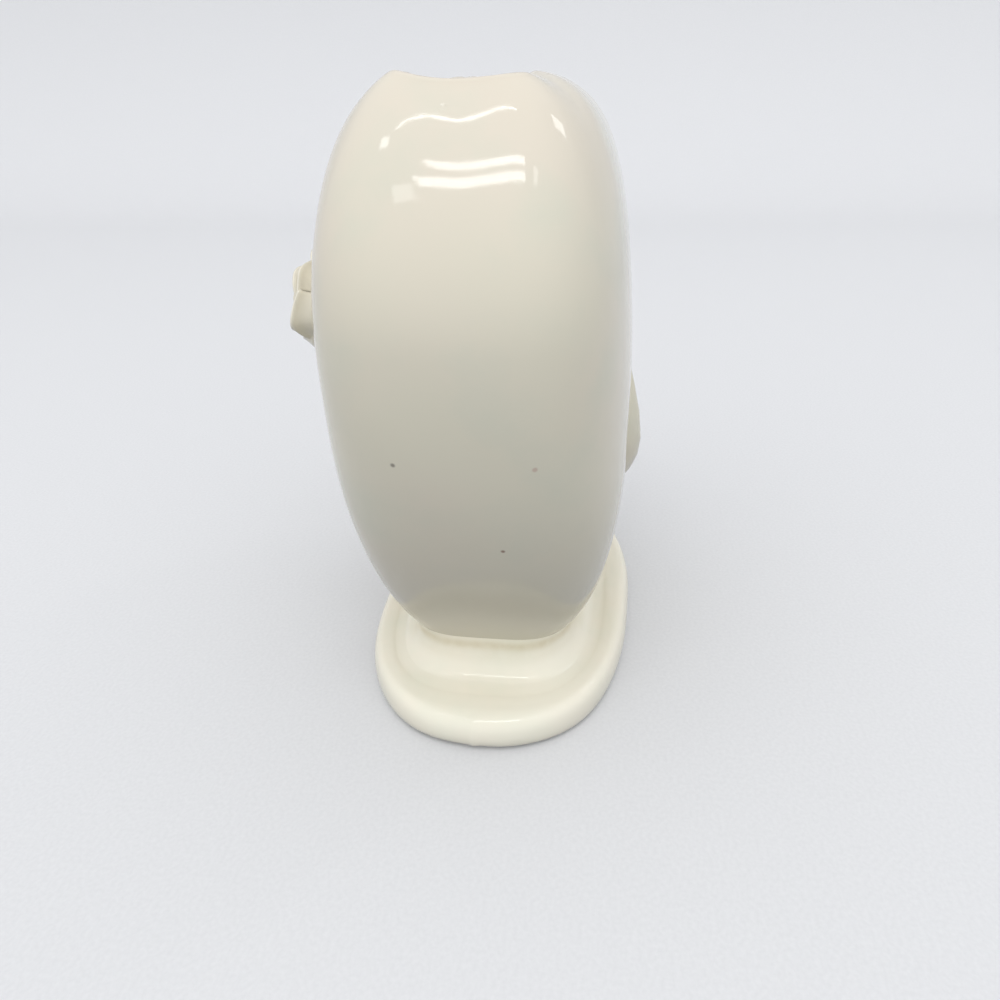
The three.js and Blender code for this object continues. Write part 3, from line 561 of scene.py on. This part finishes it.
# Foot: rolled bead, soft groove, cove and rounded collar, with the ridge of the mould's seam at both ends
def foot_rings():
    collar = NECK_HALF_WIDTH + COLLAR_LEDGE
    rest_outer = FOOT_HALF_LENGTH - REST_RING_INSET
    rest_inner = rest_outer - REST_RING_WIDTH
    bead_top = FOOT_HALF_LENGTH - BEAD_WIDTH / 2
    groove_outer = FOOT_HALF_LENGTH - BEAD_WIDTH
    groove_inner = groove_outer - GROOVE_WIDTH
    profile = [(1.0, RECESS_HEIGHT), (20.0, RECESS_HEIGHT), (rest_inner - RECESS_SLOPE - 3, RECESS_HEIGHT)]

    # Goes on from the profile's last point, bending towards a corner
    def bend(corner, end, steps):
        t = np.linspace(0, 1, steps + 1)[1:, None]
        a, b, c = (np.array(point, float) for point in (profile[-1], corner, end))
        profile.extend(map(tuple, arc(t, a, b, c)))

    bend((rest_inner - RECESS_SLOPE, RECESS_HEIGHT), (rest_inner - 0.5, 0.8), 8)
    bend((rest_inner, 0), (rest_inner + 0.9, 0), 4)
    profile.append(((rest_inner + rest_outer) / 2, 0))
    profile.append((rest_outer, 0))
    bend((FOOT_HALF_LENGTH, 0), (FOOT_HALF_LENGTH, BEAD_HEIGHT * 0.42), 14)
    bend((FOOT_HALF_LENGTH - 0.4, BEAD_HEIGHT), (bead_top - 2.0, BEAD_HEIGHT), 20)
    bend((groove_outer - 1.0, BEAD_HEIGHT), (groove_outer - 3.0, SOFT_GROOVE), 12)
    bend((groove_outer - 5.0, SOFT_GROOVE - 0.2), (groove_inner, SOFT_GROOVE + 0.2), 10)
    bend((collar + 2.8, SOFT_GROOVE + 1.2), (collar, BODY_BOTTOM - FILLET_DROP), 28)
    collar_width = NECK_HALF_DEPTH + COLLAR_LEDGE
    stretch = (FOOT_HALF_WIDTH - collar_width) / (FOOT_HALF_LENGTH - collar)
    angles = 2 * np.pi * np.arange(FOOT_AROUND) / FOOT_AROUND
    rings, pooled = [], []
    for x, z in profile:
        wide = max(FOOT_HALF_WIDTH - (FOOT_HALF_LENGTH - x) * stretch, x * collar_width / collar)
        if x < collar - 2:
            wide = x * collar_width / collar
        share = min(max((FOOT_HALF_LENGTH - x) / (FOOT_HALF_LENGTH - collar), 0), 1)
        ox, oy = oval(angles, FOOT_FULLNESS + (FULLNESS - FOOT_FULLNESS) * share)
        px, py = x * ox, wide * oy
        outside = smooth((x - rest_outer + 1) / 3) * (1 if z > 0 else 0)
        ridge = SEAM_RIDGE * bell(py, 0, SEAM_WIDTH) * outside
        wander = outside * waves_round(angles, BEAD_WANDER)
        scale = 1 + (ridge + wander) / np.maximum(np.hypot(px, py), 1)
        lift = smooth(z / BEAD_LIFT_REACH) * waves_round(angles, BEAD_LIFT)
        near_cove = bell(x - collar, COVE_PLACE, COVE_SPREAD) if z > SOFT_GROOVE else 0.0
        ripple = near_cove * waves_round(angles, COVE_RIPPLE)
        height = z + lift * (1 - share) * (1 if z >= 1 else 0) + ripple
        turn = math.radians(FOOT_TWIST) * (1 - share)
        tx, ty = px * scale, py * scale
        along = tx * math.cos(turn) + ty * math.sin(turn)
        across = ty * math.cos(turn) - tx * math.sin(turn) + FOOT_SET_BACK * (1 - share)
        rings.append(np.stack([along, across, height], 1))
        near_fillet = smooth((z - BODY_BOTTOM + 2 * FILLET_DROP) / FILLET_DROP) if x > collar - 3 else 0.0
        pooled.append(np.full(FOOT_AROUND, FILLET_POOL * float(near_fillet)))
    ox, oy = oval(angles, FULLNESS)

    def level_ring(a, b, z, amount):
        rings.append(np.stack([a * ox, b * oy, np.full(FOOT_AROUND, z)], 1))
        pooled.append(np.full(FOOT_AROUND, float(amount)))

    top = BODY_BOTTOM + FILLET_RISE
    cove = (collar, collar_width, BODY_BOTTOM - FILLET_DROP)
    crease = (NECK_HALF_WIDTH + CREASE_OUT, NECK_HALF_DEPTH + CREASE_OUT, BODY_BOTTOM + CREASE_UP)
    wall = (float(half_width(top)) - SKIN, float(half_depth(top)) - SKIN, top)
    for t in np.linspace(0, 1, FILLET_ROWS)[1:]:
        a, b, z = (arc(t, cove[i], crease[i], wall[i]) for i in range(3))
        full = math.sin(math.pi * min(1.25 * t, 1)) ** 2
        level_ring(a, b, z, FILLET_POOL + (1 - FILLET_POOL) * full - FILLET_POOL * t)
    inner = SPIGOT_HALF_WIDTH + SEAM_GAP, SPIGOT_HALF_DEPTH + SEAM_GAP
    socket_floor = BODY_BOTTOM - SPIGOT_LENGTH - SEAM_GAP
    level_ring(wall[0] - 2, wall[1] - 2, top, 0)
    level_ring(*inner, BODY_BOTTOM - 0.4, 0)
    level_ring(*inner, socket_floor, 0)
    level_ring(1, 0.6, socket_floor, 0)
    return rings, np.array(pooled)


rings, foot_pool = foot_rings()
points, faces = closed_loft(rings)
mesh_piece("glazed_foot", points, outward(points, faces), FOOT_GLAZE, ["pedestal_foot"],
           {"pool": np.append(foot_pool.ravel(), [0, 0]), "thin": np.zeros(len(points))})


# Leaf or stem laid on a face: rounded back above, and a flat bed sunk a little into the wall
def relief_piece(name, slot_node, side, line, width_at, height_at, along, across, pool_at):
    t = np.linspace(0, 1, along)
    middle = np.array([line(v) for v in t])
    tangent = np.gradient(middle, axis=0)
    tangent /= np.linalg.norm(tangent, axis=1, keepdims=True)
    sideways = np.stack([-tangent[:, 1], tangent[:, 0]], 1)
    u = np.sin(np.linspace(-np.pi / 2, np.pi / 2, across))
    rings, pooled = [], []
    for i, v in enumerate(t):
        x = middle[i, 0] + sideways[i, 0] * u * width_at(v)
        z = middle[i, 1] + sideways[i, 1] * u * width_at(v)
        seat = face_depth(x, z, side)
        back = np.stack([x, side * (seat + height_at(v, u)), z], 1)
        bed = np.stack([x, side * (seat - SINK - BED), z], 1)[1:-1][::-1]
        rings.append(np.vstack([back, bed]))
        pooled.append(np.concatenate([pool_at(v, u), np.ones(len(bed))]))
    points, faces = closed_loft(rings)
    pooled = np.append(np.array(pooled).ravel(), [1, 1])
    mesh_piece(name, points, outward(points, faces), LEAF_GLAZE, [slot_node],
               {"pool": pooled, "thin": np.zeros(len(points))})


def on_face(place):
    return np.array([place[0] * BELLY_HALF_WIDTH, place[1] * CREST_HEIGHT])


def leaf(label, side, facts, stalk):
    a, b, c = stalk(facts["from"]), on_face(facts["bend"]), on_face(facts["tip"])

    def line(t):
        return arc(t, a, b, c)

    def width_at(t):
        place = LEAF_ROOT_FULLNESS + (1 - LEAF_ROOT_FULLNESS) * t
        share = math.sin(math.pi * min(place ** LEAF_SKEW, 1)) ** LEAF_ROUNDNESS if t < 1 else 0.0
        teeth = 1 + TOOTH_DEPTH * abs(math.sin(math.pi * TOOTH_COUNT * t)) * math.sin(math.pi * t)
        return LEAF_POINT + LEAF_WIDTH * facts["width"] / 2 * share * teeth

    def height_at(t, u):
        swell = math.sin(math.pi * (CROWN_ROOT + (CROWN_END - CROWN_ROOT) * t))
        soft_end = math.sin(math.pi * min(LEAF_END + (1 - LEAF_END) * t, 1)) ** LEAF_END_POWER
        rounding = np.sqrt(np.clip(1 - np.abs(u) ** 3, 0, 1)) * soft_end
        crown = (LEAF_CROWN * facts["crown"] - LEAF_EDGE) * (1 - u * u) * swell
        vein = VEIN_DEPTH * bell(u, 0, VEIN_WIDTH) * math.sin(math.pi * t)
        branch = np.abs(np.sin(math.pi * (BRANCH_COUNT * t - BRANCH_SWEEP * np.abs(u)))) ** BRANCH_POWER
        side_veins = BRANCH_HEIGHT * branch * (1 - u * u) * math.sin(math.pi * t)
        return (LEAF_EDGE + crown - vein + side_veins + SINK + LEAF_GLAZE_RISE) * rounding - SINK

    def pool_at(t, u):
        vein = LEAF_VEIN_POOL * bell(u, 0, VEIN_WIDTH) * math.sin(math.pi * t)
        rim = LEAF_RIM_POOL * smooth((np.abs(u) - LEAF_RIM_START) / (1 - LEAF_RIM_START))
        return np.clip(vein + rim, 0, 1)

    name = f"{label}_leaf_{facts['name']}"
    relief_piece(f"glazed_{name}", name, side, line, width_at, height_at, LEAF_STEPS, LEAF_ACROSS, pool_at)


# Smooth curve through points
def spline(points):
    knots = np.array(points, float)
    padded = np.vstack([2 * knots[0] - knots[1], knots, 2 * knots[-1] - knots[-2]])

    def at(t):
        place = min(t * (len(knots) - 1), len(knots) - 1 - 1e-9)
        i = int(place)
        f = place - i
        p0, p1, p2, p3 = padded[i:i + 4]
        return 0.5 * (2 * p1 + (p2 - p0) * f + (2 * p0 - 5 * p1 + 4 * p2 - p3) * f * f
                      + (3 * p1 - p0 - 3 * p2 + p3) * f ** 3)

    return at


def stem(label, side, facts, line):
    def width_at(t):
        swell = 1 + STEM_SWELL * math.sin(STEM_SWELL_PACE * t)
        return facts["radius"] * swell * min(1, math.sqrt(max((1 - t) / STEM_TAPER, STEM_LEAST)))

    def height_at(t, u):
        end = min(1, math.sqrt(max((1 - t) / STEM_ROUNDING, 0)))
        full = STEM_EDGE + facts["rise"] + STEM_GLAZE_RISE + SINK
        return full * np.sqrt(np.clip(1 - u * u, 0, 1)) * end - SINK

    def pool_at(t, u):
        return smooth((np.abs(u) - STEM_POOL_START) / (1 - STEM_POOL_START))

    relief_piece(f"glazed_{label}_stem", f"{label}_stem", side, line, width_at, height_at,
                 STEM_STEPS, STEM_ACROSS_STEPS, pool_at)


under_rose = np.array([ROSE_X - STEM_ACROSS, ROSE_Z - STEM_BELOW])
front_line = spline([under_rose] + [on_face(p) for p in FRONT_STEM["line"]])
rear_line = spline([on_face(p) for p in REAR_STEM["line"]])
stem("front", -1, FRONT_STEM, front_line)
stem("rear", 1, REAR_STEM, rear_line)
for facts in FRONT_LEAVES:
    leaf("front", -1, facts, front_line)
for facts in REAR_LEAVES:
    leaf("rear", 1, facts, rear_line)


# Rose: thin upright petals round a rolled bud, leaning out from the front face
def front_depth(x, z):
    return float(face_depth(np.array(x), np.array(z), -1))


rose_seat = front_depth(ROSE_X, ROSE_Z)
slope_x = (front_depth(ROSE_X + 1, ROSE_Z) - front_depth(ROSE_X - 1, ROSE_Z)) / 2
slope_z = (front_depth(ROSE_X, ROSE_Z + 1) - front_depth(ROSE_X, ROSE_Z - 1)) / 2
face_normal = Vector((-slope_x, -1, -slope_z)).normalized()
tilt = math.radians(ROSE_TILT)
rose_axis = face_normal * math.cos(tilt) + Vector((0, 0, math.sin(tilt)))
ROSE_TURN = np.array(Vector((0, 0, 1)).rotation_difference(rose_axis.normalized()).to_matrix())
ROSE_PLACE = np.array([ROSE_X, -rose_seat, ROSE_Z])


def from_rose(points):
    return points @ ROSE_TURN.T + ROSE_PLACE


# One petal on a spiral: its root follows the face, and its edge is rounded and rolls outwards
def petal(name, slot_node, start, turns, radius, growth, flare, top_at,
          ruffle, fold, peak, spread, curl, steps):
    share = np.linspace(0, 1, steps)
    angle = start + turns * share
    top = top_at(share)
    c, s = np.cos(angle), np.sin(angle)

    def reach_at(z, v):
        roll = ROLL * v ** ROLL_POWER
        wave = ruffle * np.sin(RUFFLE_COUNT * math.pi * share + RUFFLE_OFFSET * start) * v ** 2
        crease = fold * bell(share, peak, FOLD_WIDTH) * v
        base = spread * (1 - v) * np.sin(math.pi * share) ** 0.5
        curled = flare(np.maximum(z, 0)) + roll + wave + crease
        return radius + growth * turns * share + curl * curled + base

    low, high = np.full(steps, ROOT_LOWEST), top.copy()
    for _ in range(30):
        z = (low + high) / 2
        r = reach_at(z, np.zeros(steps)) + PETAL_THICKNESS / 2
        p = from_rose(np.stack([r * c, r * s, z], 1))
        inside = -p[:, 1] < face_depth(p[:, 0], p[:, 2], -1)
        low, high = np.where(inside, z, low), np.where(inside, high, z)
    root = low - ROOT_DEPTH
    side = (1 - np.abs(2 * share - 1) ** SIDE_POWER) ** 0.5
    thickness = PETAL_THICKNESS * (SIDE_THIN + (1 - SIDE_THIN) * side)

    def half_at(v):
        return thickness * (ROOT_HALF - (ROOT_HALF - EDGE_HALF) * v)

    middles = []
    for level in np.linspace(0, 1, PETAL_ROWS):
        z = root + (top - root) * level
        v = np.clip(z / top, 0, 1)
        middles.append((reach_at(z, v) + PETAL_THICKNESS / 2, z, v))
    rings = [(r - half_at(v), z, v) for r, z, v in middles]
    r, z, v = middles[-1]
    half = thickness * EDGE_HALF
    for turn in np.linspace(0, np.pi, EDGE_ROWS)[1:-1]:
        rings.append((r - half * math.cos(turn), z + half * math.sin(turn), v))
    rings += [(r + half_at(v), z, v) for r, z, v in reversed(middles)]
    stacked = np.array([np.stack([r * c, r * s, z], 1) for r, z, _ in rings]).transpose(1, 0, 2)
    points, faces = closed_loft(from_rose(stacked.reshape(-1, 3)).reshape(stacked.shape))
    deep = np.array([PETAL_POOL * (1 - smooth(v / PETAL_POOL_REACH)) for _, _, v in rings])
    mesh_piece(name, points, outward(points, faces), PETAL_GLAZE, [slot_node],
               {"pool": np.append(deep.T.ravel(), [PETAL_END_POOL] * 2), "thin": np.zeros(len(points))})


# Ring of petals; each has its own share of the full height, the place of its peak, the shares of height by
# which it falls off to its first and last side, the power of the first, how far its base spreads, and how
# much of the curl at its edge it has
def petal_ring(label, facts, nestle, ruffle, fold, shapes):
    span = math.radians(facts["span"])

    def flare(z):
        return facts["flare"] * (z / facts["top"]) ** 2

    for number, (tall, peak, first, last, power, spread, curl) in enumerate(shapes):
        name = f"front_rose_{label}_petal_{number + 1}"

        def top_at(share):
            before = np.clip((peak - share) / peak, 0, 1)
            after = np.clip((share - peak) / (1 - peak), 0, 1)
            return facts["top"] * tall * (1 - first * before ** power - last * after ** FALL_POWER)

        petal(f"glazed_{name}", name, 2 * math.pi * number / facts["count"], span, facts["radius"],
              facts["growth"] * nestle, flare, top_at, ruffle, fold, peak, spread, curl, PETAL_STEPS)


petal("glazed_front_rose_bud", "front_rose_bud", 0.0, 2 * math.pi * BUD["turns"],
      BUD["radius"], BUD["growth"], lambda z: 0 * z, lambda share: BUD["top"] - BUD["fall"] * share,
      0.05, 0.0, 0.5, 0.0, 1.0, BUD_STEPS)
petal_ring("inner", INNER_PETALS, 1.0, 0.12, 0.2, [(1.0, 0.5, 0.3, 0.3, 1.7, 0.0, 1.0)] * 3)
petal_ring("outer", OUTER_PETALS, 0.45, 0.2, 1.2, [
    (0.84, 0.5, 0.06, 0.55, 1.7, 0.0, 1.0), (0.95, 0.5, 0.5, 0.4, 1.5, 0.0, 1.0),
    (1.0, 0.5, 0.3, 0.4, 1.7, 0.0, 1.0), (0.95, 0.6, 0.3, 0.3, 1.7, 6.3, 0.25),
    (0.95, 0.6, 0.7, 0.2, 1.2, 1.5, 1.0)])

# Pale sweep, in metres: level floor that turns up into a backdrop far behind the vase. The paper is what is
# seen and mirrored; other light bounces off a darker floor and a paler backdrop
SWEEP_NEAR, SWEEP_EDGE, SWEEP_BEND, SWEEP_RISE, SWEEP_HALF = 2.4, 0.9, 0.6, 1.5, 2.2
SWEEP_TURNS, SWEEP_COLUMNS = 25, 9
PAPER_DARK, PAPER_LIGHT = (0.72, 0.723, 0.732, 1), (0.76, 0.763, 0.772, 1)
FIBRE_SCALE, PAPER_ROUGHNESS = 900.0, 0.75
BOUNCE_FLOOR, BOUNCE_BACKDROP, BOUNCE_REACH = (0.14, 0.141, 0.143, 1), (0.85, 0.852, 0.858, 1), 0.12


def sweep():
    line = [(SWEEP_NEAR, 0.0), (0.4, 0.0), (0.0, 0.0), (-SWEEP_EDGE * 0.5, 0.0)]
    for turn in np.linspace(0, math.pi / 2, SWEEP_TURNS):
        line.append((-SWEEP_EDGE - SWEEP_BEND * math.sin(turn), SWEEP_BEND * (1 - math.cos(turn))))
    line.append((-SWEEP_EDGE - SWEEP_BEND, SWEEP_RISE))
    points = [(x, y, z) for x, z in line for y in np.linspace(-SWEEP_HALF, SWEEP_HALF, SWEEP_COLUMNS)]
    faces = []
    for row in range(len(line) - 1):
        for step in range(SWEEP_COLUMNS - 1):
            a = row * SWEEP_COLUMNS + step
            faces.append((a, a + 1, a + SWEEP_COLUMNS + 1, a + SWEEP_COLUMNS))
    mesh = bpy.data.meshes.new("studio_sweep")
    mesh.from_pydata(points, [], faces)
    mesh.polygons.foreach_set("use_smooth", np.ones(len(mesh.polygons), bool))
    material = bpy.data.materials.new("sweep_paper")
    material.use_nodes = True
    tree = material.node_tree
    shader = tree.nodes["Principled BSDF"]
    where = tree.nodes.new("ShaderNodeTexCoord").outputs["Object"]
    fibre = ranged(tree, noise(tree, where, FIBRE_SCALE, 3.0), *NOISE_RANGE, 0.0, 1.0)
    paper = mix_colour(tree, fibre, PAPER_DARK, PAPER_LIGHT)
    height = tree.nodes.new("ShaderNodeSeparateXYZ")
    tree.links.new(where, height.inputs[0])
    raised = ranged(tree, height.outputs["Z"], 0.0, BOUNCE_REACH, 0.0, 1.0)
    bounce = mix_colour(tree, raised, BOUNCE_FLOOR, BOUNCE_BACKDROP)
    tree.links.new(mix_colour(tree, seen_rays(tree), bounce, paper), shader.inputs["Base Color"])
    shader.inputs["Roughness"].default_value = PAPER_ROUGHNESS
    mesh.materials.append(material)
    floor = bpy.data.objects.new("studio_sweep", mesh)
    bpy.context.scene.collection.objects.link(floor)


sweep()

# Point near the vase's near end that the lamps face, in metres
LAMP_AIM = Vector((0.065, 0, 0.14))


# Soft lamp from one place to another, in metres from LAMP_AIM, which it faces
def softbox(name, first, last, tall, brightness):
    first, last = Vector(first), Vector(last)
    middle = (first + last) / 2
    lamp = bpy.data.lights.new(name, "AREA")
    lamp.shape = "RECTANGLE"
    lamp.size = (last - first).length
    lamp.size_y = tall
    lamp.energy = brightness * math.pi * lamp.size * tall
    back = middle.normalized()
    across = last - first
    across = (across - back * across.dot(back)).normalized()
    axes = Matrix((across, back.cross(across), back)).transposed().to_4x4()
    holder = bpy.data.objects.new(name, lamp)
    holder.matrix_world = Matrix.Translation(LAMP_AIM + middle) @ axes
    holder.visible_camera = False
    bpy.context.scene.collection.objects.link(holder)


softbox("window_upper", (0.44, -0.295, 1.295), (0.355, 0.33, 1.315), 0.06, 7.0)
softbox("window_lower", (0.56, -0.33, 1.24), (0.47, 0.36, 1.27), 0.08, 7.0)
softbox("top_strip_left", (0.178, -0.43, 1.30), (0.095, -0.20, 1.367), 0.012, 12.0)
softbox("top_strip_right", (0.095, -0.20, 1.367), (0.0, 0.17, 1.365), 0.012, 12.0)
softbox("left_pane", (0.21, -0.60, 1.22), (0.24, -0.50, 1.26), 0.07, 5.0)
softbox("pane_left", (0.63, -0.46, 1.17), (0.63, -0.34, 1.20), 0.14, 2.2)
softbox("pane_right", (0.39, 0.51, 1.24), (0.37, 0.60, 1.21), 0.16, 2.4)
softbox("rear_pane", (-0.50, 0.75, 0.985), (-0.66, 0.83, 0.78), 0.12, 3.0)

# World: light that falls on surfaces comes from a soft sky with a glow above the near horizon, and what is
# seen and mirrored is an even background
SKY_COLOUR, SKY_BOTTOM = (0.80, 0.81, 0.83, 1), -0.1
world = bpy.data.worlds.new("studio")
bpy.context.scene.world = world
world.use_nodes = True
sky = world.node_tree
background = sky.nodes["Background"]
background.inputs["Color"].default_value = SKY_COLOUR
upward = sky.nodes.new("ShaderNodeSeparateXYZ")
sky.links.new(sky.nodes.new("ShaderNodeTexCoord").outputs["Generated"], upward.inputs[0])
overhead = ranged(sky, upward.outputs["Z"], SKY_BOTTOM, 1.0, SKY_LOW, SKY_HIGH)
near_side = ranged(sky, upward.outputs["X"], 0.0, 1.0, 0.0, SKY_NEAR)
low_down = ranged(sky, upward.outputs["Z"], 0.0, 1.0, 1.0, 0.0)
lifted = ranged(sky, upward.outputs["Z"], 0.0, GLOW_FOOT, 0.0, 1.0)
near_glow = combine(sky, "MULTIPLY", combine(sky, "MULTIPLY", near_side, low_down), lifted)
seen = seen_rays(sky)
unseen = ranged(sky, seen, 0.0, 1.0, 1.0, 0.0)
light = combine(sky, "MULTIPLY", combine(sky, "ADD", overhead, near_glow), unseen)
strength = combine(sky, "ADD", light, combine(sky, "MULTIPLY", seen, SKY_SEEN))
sky.links.new(strength, background.inputs["Strength"])

# Camera: near, at rim height, looking down at the narrow end. Angles are in degrees
CAMERA_BEARING, CAMERA_DISTANCE, CAMERA_HEIGHT = 97.7, 224.99, 166.34
CAMERA_PITCH, CAMERA_ROLL, LENS = 28.61, -1.46, 27.04
CAMERA_SHIFT, SENSOR_WIDTH, NEAREST = -0.00358, 36, 0.01
a, p, r = (math.radians(v) for v in (CAMERA_BEARING, CAMERA_PITCH, CAMERA_ROLL))
forward = Vector((-math.sin(a) * math.cos(p), math.cos(a) * math.cos(p), -math.sin(p)))
right = Vector((math.cos(a), math.sin(a), 0))
up = right.cross(forward)
right, up = right * math.cos(r) + up * math.sin(r), up * math.cos(r) - right * math.sin(r)
camera = bpy.data.objects.new("camera", bpy.data.cameras.new("camera"))
camera.data.sensor_width = SENSOR_WIDTH
camera.data.lens = LENS
camera.data.shift_x = CAMERA_SHIFT
camera.data.clip_start = NEAREST
place = Vector((math.sin(a) * CAMERA_DISTANCE, -math.cos(a) * CAMERA_DISTANCE + SHIFT, CAMERA_HEIGHT)) * MM
axes = Matrix((right, up, -forward)).transposed().to_4x4()
camera.matrix_world = Matrix.Translation(place) @ axes
bpy.context.scene.collection.objects.link(camera)
bpy.context.scene.camera = camera

bpy.context.scene.view_settings.view_transform = "Standard"
